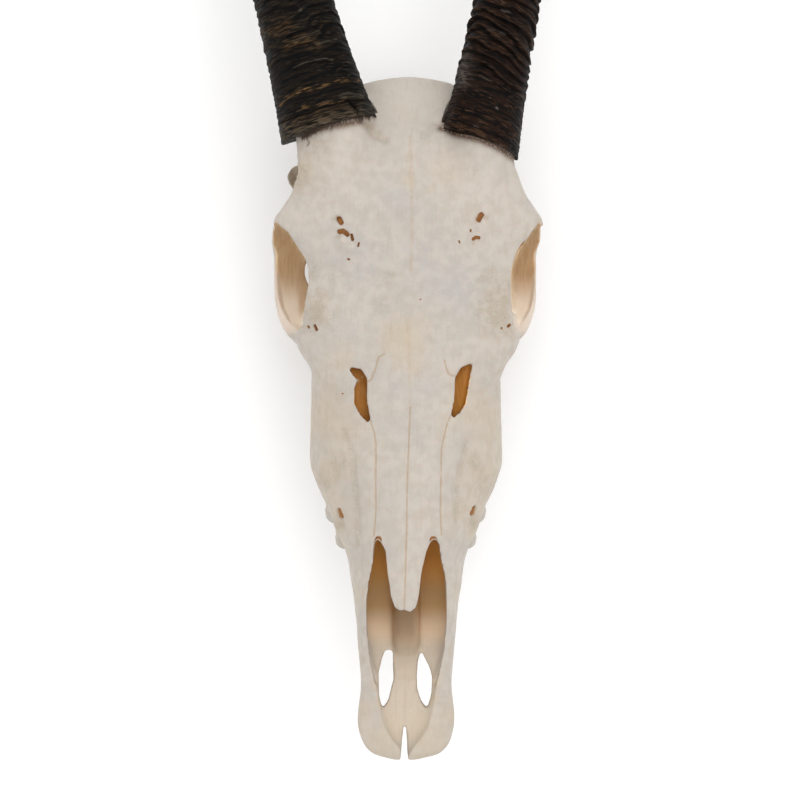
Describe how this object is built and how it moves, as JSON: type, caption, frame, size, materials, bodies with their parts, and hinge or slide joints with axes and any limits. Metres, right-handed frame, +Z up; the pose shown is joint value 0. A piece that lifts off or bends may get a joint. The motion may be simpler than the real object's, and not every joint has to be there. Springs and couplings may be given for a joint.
{
  "type": "gemsbok skull",
  "caption": "Life-size antelope skull with long ringed horns and upper teeth, no lower jaw, lying face up on its horn tips and the back of the skull",
  "frame": {"origin": "on the floor under the middle of the whole, halfway across and halfway from the muzzle tip to the horn tips", "axes": "+Y from the muzzle to the horn tips, +Z up out of the face, +X to the right of someone who looks down at the face with the muzzle towards them"},
  "size_m": [0.4418, 1.1964, 0.1674],
  "materials": {
    "bone": "clean dry bone, pale warm ivory, dull with a faint sheen",
    "horn": "near-black brown horn, ringed and finely wrinkled, satin"
  },
  "bodies": {
    "root": {"premaxilla_left": "bone", "premaxilla_right": "bone", "maxilla_left": "bone", "maxilla_right": "bone", "nasal_left": "bone", "nasal_right": "bone", "zygomatic_left": "bone", "zygomatic_right": "bone", "frontal_left": "bone", "frontal_right": "bone", "braincase": "bone", "horn_left": "horn", "horn_right": "horn"}
  },
  "joints": []
}
